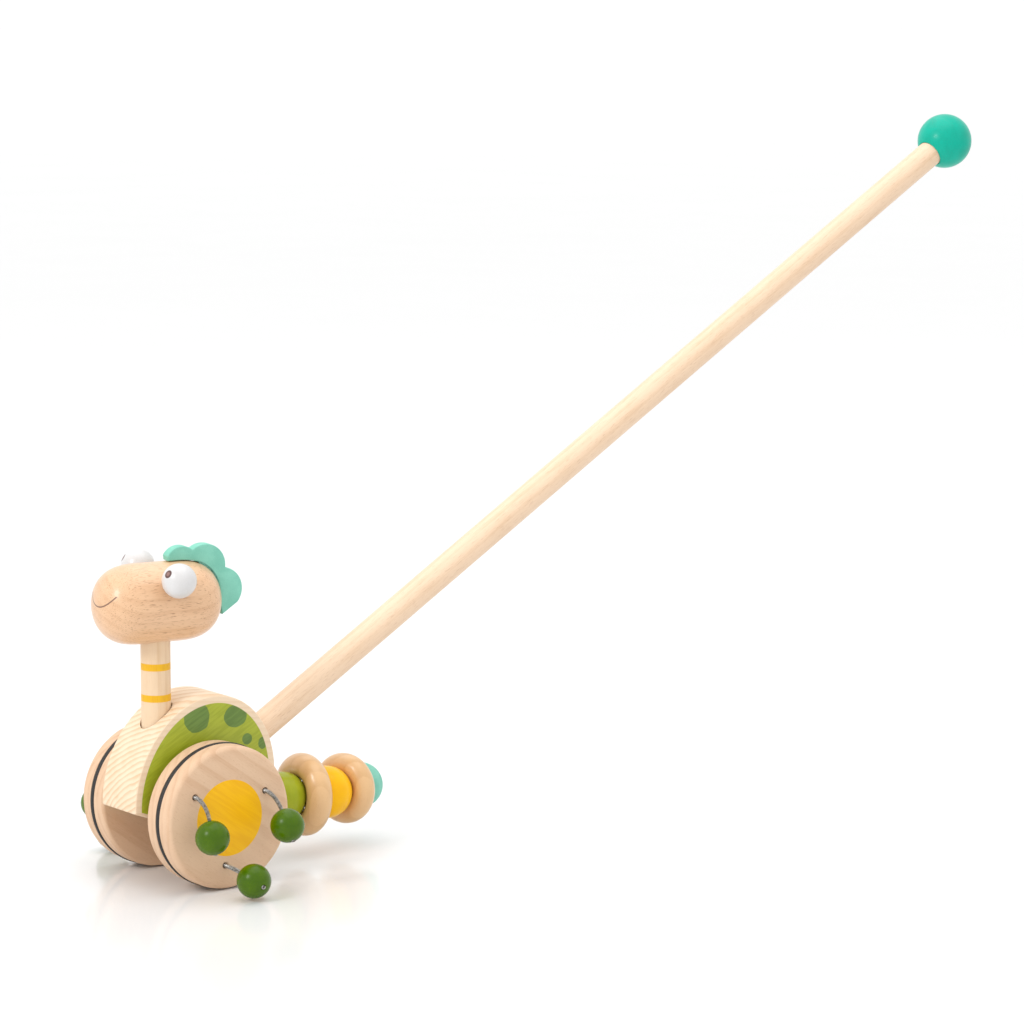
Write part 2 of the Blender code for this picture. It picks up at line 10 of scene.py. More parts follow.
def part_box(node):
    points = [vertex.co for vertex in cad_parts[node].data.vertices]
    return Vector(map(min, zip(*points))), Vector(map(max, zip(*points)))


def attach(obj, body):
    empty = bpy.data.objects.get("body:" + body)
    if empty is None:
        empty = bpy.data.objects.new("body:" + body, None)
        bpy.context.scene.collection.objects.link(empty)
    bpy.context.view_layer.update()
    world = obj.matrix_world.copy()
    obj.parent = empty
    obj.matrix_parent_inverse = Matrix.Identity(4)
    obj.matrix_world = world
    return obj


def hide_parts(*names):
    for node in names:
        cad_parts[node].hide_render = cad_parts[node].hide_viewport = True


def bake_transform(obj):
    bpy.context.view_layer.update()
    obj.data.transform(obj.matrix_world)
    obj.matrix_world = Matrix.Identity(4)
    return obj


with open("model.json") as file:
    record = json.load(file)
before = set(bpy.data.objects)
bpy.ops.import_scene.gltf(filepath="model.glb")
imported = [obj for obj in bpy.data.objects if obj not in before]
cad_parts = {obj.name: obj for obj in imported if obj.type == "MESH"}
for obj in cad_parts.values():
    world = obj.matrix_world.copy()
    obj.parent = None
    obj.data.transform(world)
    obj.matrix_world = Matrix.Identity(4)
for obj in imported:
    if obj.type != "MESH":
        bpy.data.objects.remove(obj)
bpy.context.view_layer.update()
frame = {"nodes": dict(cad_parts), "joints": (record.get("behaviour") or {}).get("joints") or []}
print("frame loaded")


def middleOf(node):
    low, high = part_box(node)
    return np.array((low + high) / 2)


axle = middleOf("axle")
sides = {"left": 1, "right": -1}
joints = {joint["name"]: joint for joint in frame["joints"]}


# shader nodes as plain arithmetic
class Reading:
    # a value that changes over a surface; arithmetic on it adds Math nodes
    def __init__(self, finish, socket):
        self.finish, self.socket = finish, socket

    def maths(self, operation, *values):
        return self.finish.add("ShaderNodeMath", {"operation": operation}, dict(enumerate(values)))

    def __add__(self, other):
        return self.maths("ADD", self, other)

    def __sub__(self, other):
        return self.maths("SUBTRACT", self, other)

    def __rsub__(self, other):
        return self.maths("SUBTRACT", other, self)

    def __mul__(self, other):
        return self.maths("MULTIPLY", self, other)

    def __truediv__(self, other):
        return self.maths("DIVIDE", self, other)

    def __pow__(self, other):
        return self.maths("POWER", self, other)

    def __abs__(self):
        return self.maths("ABSOLUTE", self)

    __radd__ = __add__
    __rmul__ = __mul__

    def under(self, other):
        return self.maths("LESS_THAN", self, other)

    def most(self, other):
        return self.maths("MAXIMUM", self, other)

    def fraction(self):
        return self.maths("FRACT", self)

    def root(self):
        return self.maths("SQRT", self)


class Finish:
    # one material; every node in it comes from add
    def __init__(self, name):
        self.material = bpy.data.materials.new(name)
        self.material.use_nodes = True
        self.tree = self.material.node_tree
        self.shader = self.tree.nodes["Principled BSDF"]

    def feed(self, socket, value):
        if isinstance(value, Reading):
            self.tree.links.new(value.socket, socket)
        else:
            socket.default_value = value

    def add(self, kind, settings=None, sockets=None, out=0):
        node = self.tree.nodes.new(kind)
        for key, value in (settings or {}).items():
            if key != "stops":
                setattr(node, key, value)
                continue
            stops = node.color_ramp.elements
            while len(stops) < len(value):
                stops.new(1)
            for stop, (where, color) in zip(stops, value):
                stop.position, stop.color = where, (*color, 1)
        for key, value in (sockets or {}).items():
            self.feed(node.inputs[key], value)
        return Reading(self, node.outputs[out])

    def coords(self, centre, turn=(0, 0, 0)):
        # place on the piece, measured from a centre and turned with the grain
        place = self.add("ShaderNodeTexCoord", out="Object")
        return self.add(
            "ShaderNodeMapping",
            {"vector_type": "TEXTURE"},
            {"Vector": place, "Location": tuple(centre), "Rotation": tuple(turn)},
        )

    def parts(self, coords):
        split = self.add("ShaderNodeSeparateXYZ", sockets={0: coords})
        return [Reading(self, output) for output in split.socket.node.outputs]

    def noise(self, coords, sizes, detail=2.0, seed=(0, 0, 0)):
        # soft random value near 0.5, with features of these sizes in metres
        scaled = self.add(
            "ShaderNodeVectorMath",
            {"operation": "MULTIPLY_ADD"},
            {0: coords, 1: tuple(1 / s for s in sizes), 2: tuple(seed)},
        )
        return self.add("ShaderNodeTexNoise", None, {"Vector": scaled, "Scale": 1.0, "Detail": detail})

    def rise(self, value, low, high):
        # 0 below low, 1 above high, smooth between
        return self.add(
            "ShaderNodeMapRange",
            {"interpolation_type": "SMOOTHSTEP"},
            {"Value": value, "From Min": low, "From Max": high},
        )

    def mix(self, share, first, second):
        first, second = ((*c, 1) if isinstance(c, tuple) else c for c in (first, second))
        return self.add("ShaderNodeMix", {"data_type": "RGBA"}, {0: share, 6: first, 7: second}, 2)

    def bump(self, height, depth, strength=1.0):
        return self.add(
            "ShaderNodeBump", None, {"Height": height, "Distance": depth, "Strength": strength}
        )

    def wear(self, **sockets):
        # sets the shader's sockets: underscores stand for spaces
        for key, value in sockets.items():
            name = key.replace("_", " ").title().replace("Ior", "IOR")
            if isinstance(value, tuple) and len(value) == 3 and "Color" in name:
                value = (*value, 1)
            self.feed(self.shader.inputs[name], value)
        return self.material


def tint(red, green, blue):
    # a colour as it looks on a screen, 0 to 255, made linear
    shares = (c / 255 for c in (red, green, blue))
    return tuple(c / 12.92 if c < 0.04045 else ((c + 0.055) / 1.055) ** 2.4 for c in shares)


def asUnit(vector):
    vector = np.array(vector, float)
    return vector / np.linalg.norm(vector, axis=-1, keepdims=True)


def basisFor(axis):
    # the axis and two directions square to it
    ahead = asUnit(axis)
    hint = (0, 0, 1) if abs(ahead[2]) < 0.9 else (0, 1, 0)
    across = asUnit(np.cross(hint, ahead))
    return ahead, across, np.cross(ahead, across)


def arc(centre, radius, start, end, count):
    # points (radius, height) on a circle, from one angle to the other in degrees
    angle = np.radians(np.linspace(start, end, count))
    return np.stack([centre[0] + radius * np.cos(angle), centre[1] + radius * np.sin(angle)], 1)


def skin(points, loopRows=False):
    # quads over a grid of points whose columns close on themselves
    rows, columns = points.shape[:2]
    i, j = np.meshgrid(np.arange(rows if loopRows else rows - 1), np.arange(columns), indexing="ij")
    nextRow, nextColumn = (i + 1) % rows, (j + 1) % columns
    here, below = i * columns, nextRow * columns
    faces = np.stack((here + j, below + j, below + nextColumn, here + nextColumn), -1).reshape(-1, 4)
    return points.reshape(-1, 3), faces.tolist()


def turned(profile, centre, axis, around=96, loopRows=False):
    # profile of (radius, height): point = centre + height * axis + radius * (cos a * across + sin a * up)
    profile = np.vstack(profile)
    ahead, across, up = basisFor(axis)
    angle = np.linspace(0, 2 * math.pi, around, endpoint=False)
    spoke = np.cos(angle)[:, None] * across + np.sin(angle)[:, None] * up
    points = (
        np.array(centre)
        + profile[:, None, 1:2] * ahead
        + profile[:, None, 0:1] * spoke[None]
    )
    return skin(points, loopRows)


def evenly(outline, count):
    # the closed outline again, with points the same distance apart
    closed = np.vstack([outline, outline[:1]])
    along = np.concatenate([[0], np.cumsum(np.linalg.norm(np.diff(closed, axis=0), axis=1))])
    where = np.linspace(0, along[-1], count, endpoint=False)
    return np.stack([np.interp(where, along, closed[:, k]) for k in range(2)], 1), along[-1]


def slab(outline, halfWidth, edge, corner, toPlace, count=480, steps=6):
    # a flat outline made even and its corners rounded by averaging neighbours; carried across the
    # width, drawn in near each face as edge * (1 - cos t) while the width grows as edge * sin t
    even, length = evenly(outline, count)
    reach = max(1, round(corner * count / length))
    even = sum(np.roll(even, k, 0) for k in range(-reach, reach + 1)) / (2 * reach + 1)
    ahead = asUnit(np.roll(even, -1, 0) - np.roll(even, 1, 0))
    area = np.sum(even[:, 0] * np.roll(even[:, 1], -1) - even[:, 1] * np.roll(even[:, 0], -1))
    outward = np.stack([ahead[:, 1], -ahead[:, 0]], 1) * np.sign(area)
    t = np.linspace(math.pi / 2, 0, steps)
    inset = edge * (1 - np.cos(t))
    width = halfWidth - edge + edge * np.sin(t)
    inset, width = np.concatenate([inset, inset[::-1]]), np.concatenate([width, -width[::-1]])
    flat = even[None] - inset[:, None, None] * outward[None]
    points = toPlace(np.broadcast_to(width[:, None], flat.shape[:2]), flat[..., 0], flat[..., 1])
    vertices, faces = skin(points)
    last = len(vertices) - count
    return vertices, faces + [list(range(count)), list(range(last, last + count))]


def coil(path, ahead, aside, radius, wire, pitch, stations, sides=6):
    # a wire wound round a path: middle = path + radius * (cos w * aside + sin w * bound), where w grows
    # one turn each pitch; then a small circle square to the wire
    step = np.linalg.norm(np.diff(path, axis=0), axis=1)
    along = np.concatenate([[0], np.cumsum(step)])
    where = np.linspace(0, along[-1], stations)

    def read(values):
        return np.stack([np.interp(where, along, values[:, k]) for k in range(3)], 1)

    middle, ahead, aside = read(path), asUnit(read(ahead)), asUnit(read(aside))
    bound = np.cross(ahead, aside)
    angle = 2 * math.pi * where / pitch
    spoke = np.cos(angle)[:, None] * aside + np.sin(angle)[:, None] * bound
    line = middle + radius * spoke
    run = asUnit(np.gradient(line, axis=0))
    other = np.cross(run, spoke)
    around = np.linspace(0, 2 * math.pi, sides, endpoint=False)
    points = line[:, None] + wire * (
        np.cos(around)[None, :, None] * spoke[:, None] + np.sin(around)[None, :, None] * other[:, None]
    )
    first, last = (np.repeat(end[None], sides, 1) for end in (line[:1], line[-1:]))
    points = np.concatenate([first, points, last])
    return skin(points)


def asMesh(name, surfaces):
    # one closed mesh from surfaces: doubles merged, faces turned outwards
    vertices = np.concatenate([s[0] for s in surfaces])
    starts = np.cumsum([0] + [len(s[0]) for s in surfaces])
    faces = [[start + k for k in face] for start, s in zip(starts, surfaces) for face in s[1]]
    mesh = bpy.data.meshes.new(name)
    mesh.from_pydata(vertices.tolist(), [], faces)
    shape = bmesh.new()
    shape.from_mesh(mesh)
    bmesh.ops.remove_doubles(shape, verts=shape.verts, dist=1e-6)
    bmesh.ops.dissolve_degenerate(shape, edges=shape.edges, dist=1e-7)
    bmesh.ops.triangulate(shape, faces=[f for f in shape.faces if len(f.verts) > 4])
    bmesh.ops.recalc_face_normals(shape, faces=shape.faces)
    shape.to_mesh(mesh)
    shape.free()
    return mesh


def newObject(name, surfaces):
    piece = bpy.data.objects.new(name, asMesh(name, surfaces))
    bpy.context.scene.collection.objects.link(piece)
    return piece


def carve(piece, holes):
    # takes holes, which are surfaces, out of a piece
    cutters = [newObject("hole", [hole]) for hole in holes]
    for cutter in cutters:
        modifier = piece.modifiers.new("hole", "BOOLEAN")
        modifier.operation, modifier.solver, modifier.object = "DIFFERENCE", "EXACT", cutter
    bpy.context.view_layer.update()
    whole = piece.evaluated_get(bpy.context.evaluated_depsgraph_get())
    mesh = bpy.data.meshes.new_from_object(whole)
    piece.modifiers.clear()
    piece.data = mesh
    for cutter in cutters:
        bpy.data.objects.remove(cutter)


def makePiece(name, surfaces, material, nodes, body=None, holes=(), sharp=38):
    piece = newObject(name.replace(" ", "_"), surfaces)
    if holes:
        carve(piece, holes)
    piece.data.shade_smooth()
    piece.data.set_sharp_from_angle(angle=math.radians(sharp))
    piece.data.materials.clear()
    piece.data.materials.append(material)
    if body:
        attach(piece, body)
    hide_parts(*nodes)
    return piece


# woods, with colours, ring spacing and flecks
woods = {
    "ash": dict(
        light=tint(240, 218, 190), dark=tint(222, 188, 148),
        ring=0.0032, ringShare=0.62, wander=0.0048, fibre=0.22,
        fleck=tint(206, 168, 126), fleckShare=0.12, fleckSize=(0.003, 0.00022, 0.0005),
    ),
    "beech": dict(
        light=tint(224, 190, 158), dark=tint(206, 166, 132),
        ring=0.0048, ringShare=0.35, wander=0.004, fibre=0.28,
        fleck=tint(168, 124, 92), fleckShare=0.22, fleckSize=(0.0024, 0.00018, 0.0004),
    ),
    "headBeech": dict(
        light=tint(226, 184, 144), dark=tint(202, 154, 112),
        ring=0.005, ringShare=0.22, wander=0.004, fibre=0.3,
        fleck=tint(156, 106, 70), fleckShare=0.75, fleckSize=(0.0042, 0.00034, 0.00034),
    ),
    "rodBeech": dict(
        light=tint(235, 206, 176), dark=tint(219, 184, 148),
        ring=0.0046, ringShare=0.3, wander=0.003, fibre=0.42,
        fleck=tint(180, 134, 96), fleckShare=0.35, fleckSize=(0.005, 0.00022, 0.0003),
    ),
    "lacquered": dict(
        light=tint(226, 184, 132), dark=tint(208, 162, 108),
        ring=0.006, ringShare=0.3, wander=0.0035, fibre=0.22,
        fleck=tint(176, 128, 80), fleckShare=0.15, fleckSize=(0.0024, 0.00018, 0.0004),
    ),
    "pale": dict(
        light=tint(230, 202, 168), dark=tint(216, 182, 142),
        ring=0.003, ringShare=0.35, wander=0.0012, fibre=0.35,
        fleck=tint(190, 148, 106), fleckShare=0.12, fleckSize=(0.004, 0.00018, 0.0004),
    ),
}


def woodGrain(finish, kind, centre, grain, heart, seed=0.0):
    # distance from the tree's heart, bent by slow noise, counts year rings; a ring darkens slowly and
    # ends sharply. Long thin noise makes fibres and short thin noise the flecks. Gives colour and height.
    wood = woods[kind]
    turn = Vector(grain).to_track_quat("X", "Z").to_euler()
    place = finish.coords(centre, turn)
    _, y, z = finish.parts(place)
    slow = finish.noise(place, (0.09, 0.016, 0.016), 2.0, (seed, 2, 3))
    heartY, heartZ = heart
    radius = ((y - heartY) ** 2 + (z - heartZ) ** 2).root()
    rings = (radius + (slow - 0.5) * wood["wander"]) / wood["ring"]
    part = rings.fraction()
    late = finish.rise(part, 0.25, 0.88) * (1 - finish.rise(part, 0.9, 1.0))
    fibre = finish.noise(place, (0.02, 0.0004, 0.0004), 3.0, (seed, 7, 1))
    cloud = finish.noise(place, (0.03, 0.008, 0.008), 2.0, (4, seed, 6))
    fleckNoise = finish.noise(place, wood["fleckSize"], 1.0, (seed, 5, 9))
    flecks = finish.rise(fleckNoise, 0.60, 0.70)
    share = late * wood["ringShare"] + (fibre - 0.5) * (2 * wood["fibre"]) + (cloud - 0.5) * 0.8 + 0.15
    color = finish.mix(finish.rise(share, 0.0, 1.0), wood["light"], wood["dark"])
    color = finish.mix(flecks * wood["fleckShare"], color, wood["fleck"])
    height = fibre * 0.6 - flecks * 0.5 - late * 0.2
    return color, height


def woodFinish(name, kind, centre, grain, heart, seed=0.0, rough=0.5, coat=0.0):
    finish = Finish(name)
    color, height = woodGrain(finish, kind, centre, grain, heart, seed)
    return finish.wear(
        base_color=color,
        roughness=height * 0.08 + rough,
        coat_weight=coat,
        coat_roughness=0.18,
        normal=finish.bump(height, 0.00002),
    )


# paints, rubber and steel
paints = {
    "darkGreen": dict(color=tint(76, 108, 0), deep=tint(62, 94, 0), rough=0.22, coat=0.05, bump=0.000012),
    "lime": dict(color=tint(168, 178, 40), deep=tint(154, 166, 28), rough=0.24, coat=0.1, bump=0.000012),
    "yellow": dict(color=tint(251, 192, 0), deep=tint(245, 182, 0), rough=0.24, coat=0.05, bump=0.000012),
    "mint": dict(color=tint(136, 204, 184), deep=tint(122, 192, 172), rough=0.6, coat=0.0, bump=0.00005),
    "teal": dict(color=tint(0, 176, 152), deep=tint(0, 165, 141), rough=0.28, coat=0.08, bump=0.000008),
    "white": dict(color=tint(214, 213, 213), deep=tint(208, 206, 205), rough=0.3, coat=0.3, bump=0.00001),
}


def paintCoat(finish, kind, place):
    # a flat colour with faint clouds and a fine grain that shows through the coat
    paint = paints[kind]
    clouds = finish.noise(place, (0.008, 0.008, 0.008), 3.0)
    grain = finish.noise(place, (0.0006, 0.0003, 0.0006), 2.0)
    color = finish.mix(finish.rise(clouds * 0.6 + grain * 0.4, 0.35, 0.65), paint["color"], paint["deep"])
    return color, clouds * 0.5 + grain


def paintFinish(name, kind, centre):
    finish = Finish(name)
    paint = paints[kind]
    color, height = paintCoat(finish, kind, finish.coords(centre))
    return finish.wear(
        base_color=color,
        roughness=height * 0.06 + paint["rough"],
        specular_ior_level=0.2,
        coat_weight=paint["coat"],
        coat_roughness=0.08,
        normal=finish.bump(height, paint["bump"]),
    )


def steelFinish(name):
    # bright wire with slight dark stains
    finish = Finish(name)
    place = finish.coords((0, 0, 0))
    stain = finish.noise(place, (0.0012, 0.0012, 0.0012), 3.0)
    color = finish.mix(finish.rise(stain, 0.4, 0.7), tint(178, 175, 170), tint(112, 109, 105))
    return finish.wear(base_color=color, metallic=0.9, roughness=stain * 0.3 + 0.18)


def rubberFinish(name):
    # near-black with a dusty bloom
    finish = Finish(name)
    place = finish.coords((0, 0, 0))
    dust = finish.noise(place, (0.0008, 0.0008, 0.0008), 3.0)
    color = finish.mix(finish.rise(dust, 0.4, 0.7), tint(34, 32, 31), tint(50, 47, 45))
    return finish.wear(
        base_color=color, roughness=dust * 0.2 + 0.5, normal=finish.bump(dust, 0.00002)
    )


steel = steelFinish("spring steel")
rubber = rubberFinish("black rubber")
print("finishes ready")

body = {
    "middle": (0.0027, 0.0098),  # arch's centre behind and above the axle
    "halfLength": 0.0447,
    "halfHeight": 0.0533,
    "lean": math.radians(20),
    "baseDrop": 0.0224,
    "halfWidth": 0.0170,
    "edge": 0.0009,
    "paintInset": 0.0041,
    "paintBottom": 0.0018,
    "neckForward": 0.0181,
    "neckHole": 0.0089,
    "camSlot": 0.0265,
    "slotHalf": 0.0055,
    "footChamber": 0.0111,
    "chamberRoof": 0.0368,
    "tailHole": 0.0026,
    "tailHoleEnds": (-0.025, 0.01),
    "cutDown": -0.08,  # the holes are cut this far down and up, past the block
    "cutUp": 0.09,
    "rim": tint(234, 210, 180),
    "green": tint(166, 177, 44),
    "greenDeep": tint(152, 164, 34),
    "spot": tint(104, 134, 54),
    "spotDeep": tint(90, 120, 44),
    # each spot: behind and above the axle, half length, half height
    "spots": ((-0.0028, 0.0513, 0.0087, 0.0085), (0.0226, 0.0493, 0.0074, 0.0066),
              (0.0301, 0.0354, 0.0033, 0.0033), (0.0403, 0.0318, 0.0028, 0.0036)),
}


def bodyOutline():
    # ellipse from the rear corner over the top to the front one, then straight along the underside
    dip = math.asin(body["baseDrop"] / body["halfHeight"])
    t = np.linspace(-dip, math.pi + dip, 400)
    along, up = body["halfLength"] * np.cos(t), body["halfHeight"] * np.sin(t)
    cosine, sine = math.cos(body["lean"]), math.sin(body["lean"])
    y, z = body["middle"]
    return np.stack([y + along * cosine + up * sine, z - along * sine + up * cosine], 1)


def fromAxle(across, behind, above):
    return np.stack([axle[0] + across, axle[1] + behind, axle[2] + above], -1)


def bodyFinish():
    # the wood shows on the arch and a rim; inside a smaller ellipse both sides are green with dark spots
    finish = Finish("painted ash block")
    grain = (0, math.cos(math.radians(-6)), math.sin(math.radians(-6)))
    color, height = woodGrain(finish, "ash", axle, grain, (-0.046, -0.054), 3.0)
    x, y, z = finish.parts(finish.coords(axle))
    cosine, sine = math.cos(body["lean"]), math.sin(body["lean"])
    along = (y - body["middle"][0]) * cosine - (z - body["middle"][1]) * sine
    up = (y - body["middle"][0]) * sine + (z - body["middle"][1]) * cosine
    length, tall = body["halfLength"] - body["paintInset"], body["halfHeight"] - body["paintInset"]
    roundness = ((along / length) ** 2 + (up / tall) ** 2).root()
    onSide = finish.rise(abs(x), body["halfWidth"] - 0.0005, body["halfWidth"] - 0.0003)
    inside = 1 - finish.rise(roundness, 0.996, 1.004)
    color = finish.mix(onSide * 0.65, color, body["rim"])
    bottom = body["paintBottom"] - body["baseDrop"]
    above = finish.rise(up, bottom, bottom + 0.0003)
    painted = onSide * inside * above
    wobble = finish.noise(finish.coords(axle), (0.006, 0.006, 0.006), 1.0)
    spots = None
    for behind, high, halfLong, halfTall in body["spots"]:
        reach = (((y - behind) / halfLong) ** 2 + ((z - high) / halfTall) ** 2).root()
        spot = 1 - finish.rise(reach + (wobble - 0.5) * 0.25, 0.97, 1.01)
        spots = spot if spots is None else spots.most(spot)
    stain = finish.noise(finish.coords(axle, (math.radians(28), 0, 0)), (0.01, 0.012, 0.0012), 3.0)
    brush = finish.rise(stain, 0.35, 0.65)
    green = finish.mix(brush, body["green"], body["greenDeep"])
    dark = finish.mix(brush, body["spot"], body["spotDeep"])
    paint = finish.mix(spots, green, dark)
    return finish.wear(
        base_color=finish.mix(painted, color, paint),
        roughness=painted * -0.12 + 0.5 + height * 0.05,
        coat_roughness=0.2,
        normal=finish.bump(height * (1 - painted * 0.6), 0.00003),
    )


def makeBody():
    down, past, reach = body["cutDown"], body["cutUp"], body["camSlot"]
    slot = np.vstack([arc((0, 0), reach, 0, 180, 60), [(-reach, down), (reach, down)]])
    slot = slab(slot, body["slotHalf"], 0.0001, 0.0002, fromAxle, 240, 2)
    neckAt = axle - np.array((0, body["neckForward"], 0))
    neckHole = [(0, down), (body["footChamber"], down), (body["footChamber"], body["chamberRoof"]),
                (body["neckHole"], body["chamberRoof"]), (body["neckHole"], past), (0, past)]
    tailRoot, wide = joints["tail_lift"]["pos_m"], body["tailHole"]
    first, last = body["tailHoleEnds"]
    tailHole = [(0, first), (wide, first), (wide, last), (0, last)]
    makePiece(
        "arched block",
        [slab(bodyOutline(), body["halfWidth"], body["edge"], 0.0007, fromAxle)],
        bodyFinish(), ["body_block"], "body",
        [slot, turned(neckHole, neckAt, (0, 0, 1), 64), turned(tailHole, tailRoot, tailWay, 32)],
    )


tailFall = math.radians(3)
tailWay = (0, math.cos(tailFall), -math.sin(tailFall))

makeBody()
print("body made")

rod = {"radius": 0.008, "rise": math.radians(30.7), "start": (0.02395, 0.0206), "reach": 0.6338,
       "knob": 0.0168, "socket": 0.0005, "seat": 0.35, "edge": 0.0004, "gap": 0.0003}
rodWay = np.array((0, math.cos(rod["rise"]), math.sin(rod["rise"])))
rodStart = axle + np.array((0, *rod["start"]))


def makeRod():
    radius, end = rod["radius"], rod["reach"] - rod["knob"] * rod["seat"]
    edge, start = rod["edge"], rod["socket"]
    side = [(radius, s) for s in np.linspace(0.01, end - edge, 60)]
    profile = [(0, start), (radius, start), *side, (radius - edge, end), (0, end)]
    material = woodFinish("beech rod", "rodBeech", rodStart, rodWay, (0.011, 0.014), 1.0, 0.45, 0.1)
    makePiece("long rod", [turned(profile, rodStart, rodWay, 72)], material, ["push_rod"], "body")
    centre = rodStart + rodWay * rod["reach"]
    hole = radius + rod["gap"]
    mouth = math.degrees(math.asin(hole / rod["knob"]))
    flat = -rod["knob"] * rod["seat"] + rod["gap"]
    profile = [arc((0, 0), rod["knob"], 90, -90 + mouth, 64), [(hole, flat), (0, flat)]]
    makePiece("round knob", [turned(profile, centre, rodWay, 96)],
              paintFinish("teal paint", "teal", centre), ["knob"], "body")


makeRod()
print("rod made")

wheel = {"radius": 0.0395, "thick": 0.022, "inner": 0.0223, "outerEdge": 0.0030, "innerEdge": 0.0020,
         "groove": 0.00235, "ringRadius": 0.0020, "ringCircle": 0.038, "disc": 0.0211, "holeCircle": 0.0263,
         "hole": 0.0017, "holeDepth": 0.009, "mouth": 0.0006, "flat": 0.024,
         "discColor": tint(251, 191, 8), "discDeep": tint(245, 181, 2)}
# each leg: its hole's angle round the axle, and how far its spring bends down on each side
legs = {"front": (147.1, {"left": 73, "right": 90}), "rear": (27.1, {"left": 54, "right": 54}),
        "lower": (-96.5, {"left": 10, "right": 10})}
leg = {"length": 0.0183, "ball": 0.0094, "gap": 0.0003, "coil": 0.0012, "wire": 0.00031, "pitch": 0.00072,
       "root": 0.005, "bendFrom": -0.0016, "bendTo": 0.0045}
spacer = {"radii": (0.0033, 0.0075), "gap": 0.0003}
cam = {"radius": 0.021, "half": 0.004, "offset": 0.004}


def wheelFinish(side, sign):
    # beech, with a yellow disc painted on the middle of the outer face
    finish = Finish(f"beech wheel {side}")
    centre = axle + np.array((sign * (wheel["inner"] + wheel["thick"] / 2), 0, 0))
    grain = (0, math.cos(math.radians(-35)), math.sin(math.radians(-35)))
    color, height = woodGrain(finish, "beech", centre, grain, (0.052 * sign, -0.018), 5.0 + sign)
    x, y, z = finish.parts(finish.coords(axle))
    fromHub = (y ** 2 + z ** 2).root()
    face = wheel["inner"] + wheel["thick"]
    onFace = finish.rise(x * sign, face - 0.0004, face - 0.0002)
    disc = onFace * (1 - finish.rise(fromHub, wheel["disc"] - 0.0001, wheel["disc"] + 0.0001))
    brush = finish.noise(finish.coords(axle, (math.radians(-35), 0, 0)), (0.01, 0.02, 0.0015), 3.0)
    yellow = finish.mix(finish.rise(brush, 0.35, 0.65), wheel["discColor"], wheel["discDeep"])
    return finish.wear(
        base_color=finish.mix(disc, color, yellow),
        roughness=disc * -0.12 + 0.5 + height * 0.05,
        specular_ior_level=0.3,
        normal=finish.bump(height * (1 - disc * 0.6), 0.00003),
    )


def legMouth(sign, degrees):
    # where a leg leaves its wheel: a point of a circle round the axle
    angle = math.radians(degrees)
    return axle + np.array((sign * (wheel["inner"] + wheel["thick"]), wheel["holeCircle"] * math.cos(angle),
                            wheel["holeCircle"] * math.sin(angle)))


def makeWheel(side, sign):
    half, rim, edge, back = wheel["thick"] / 2, wheel["radius"], wheel["outerEdge"], wheel["innerEdge"]
    centre = axle + np.array((sign * (wheel["inner"] + half), 0, 0))
    lift = math.degrees(math.acos((rim - wheel["ringCircle"]) / wheel["groove"]))
    profile = [
        [(0, half), (wheel["flat"] / 2, half), (wheel["flat"], half)],
        arc((rim - edge, half - edge), edge, 90, 0, 12),
        arc((wheel["ringCircle"], 0), wheel["groove"], lift, 360 - lift, 20),
        arc((rim - back, -half + back), back, 0, -90, 9),
        [(wheel["flat"], -half), (wheel["flat"] / 2, -half), (0, -half)],
    ]
    holes = []
    for angle, _ in legs.values():
        mouth = legMouth(sign, angle)
        hole, deep, wide = wheel["hole"], -wheel["holeDepth"], wheel["hole"] + wheel["mouth"]
        past = 0.004  # the cutter ends this far outside the wheel
        cutter = [(0, deep), (hole, deep), (hole, -0.0003), (wide, 0.0003), (wide, past), (0, past)]
        holes.append(turned(cutter, mouth, (sign, 0, 0), 32))
    makePiece(f"wheel {side}", [turned(profile, centre, (sign, 0, 0), 128)], wheelFinish(side, sign),
              [f"wheel_{side}"], "wheels", holes, 30)
    ring = arc((wheel["ringCircle"], 0), wheel["ringRadius"], 0, 345, 24)
    makePiece(f"rubber ring {side}", [turned([ring], centre, (sign, 0, 0), 128, True)], rubber,
              [f"tyre_{side}"], "wheels")
    room, middle = wheel["inner"] - body["halfWidth"], (wheel["inner"] + body["halfWidth"]) / 2
    flat, (bore, rim) = room / 2 - spacer["gap"], spacer["radii"]
    washer = np.array([(rim, flat), (rim, -flat), (bore, -flat), (bore, flat)])
    makePiece(f"spacer {side}",
              [turned([washer], axle + np.array((sign * middle, 0, 0)), (sign, 0, 0), 48, True)],
              woodFinish(f"spacer beech {side}", "beech", axle, (0, 1, 0), (0.02, 0.03), 8.0),
              [f"spacer_{side}"], "wheels", sharp=30)


def legPath(sign, bend, start, end, count=160):
    # straight out of the wheel, then a circle's arc of the spring's length, then straight on: the
    # heading falls as bend * s / length, and the place is that circle's sine and 1 - cosine
    s = np.linspace(start, end, count)
    turn = bend * np.clip(s / leg["length"], 0, 1)
    radius = leg["length"] / bend
    past = np.clip(s - leg["length"], 0, None) + np.clip(s, None, 0)
    out = radius * np.sin(turn) + past * np.cos(turn)
    down = radius * (1 - np.cos(turn)) + past * np.sin(turn)
    still = np.zeros(count)
    path = np.stack([sign * out, still, -down], 1)
    ahead = np.stack([sign * np.cos(turn), still, -np.sin(turn)], 1)
    aside = np.stack([sign * np.sin(turn), still, np.cos(turn)], 1)
    return path, ahead, aside


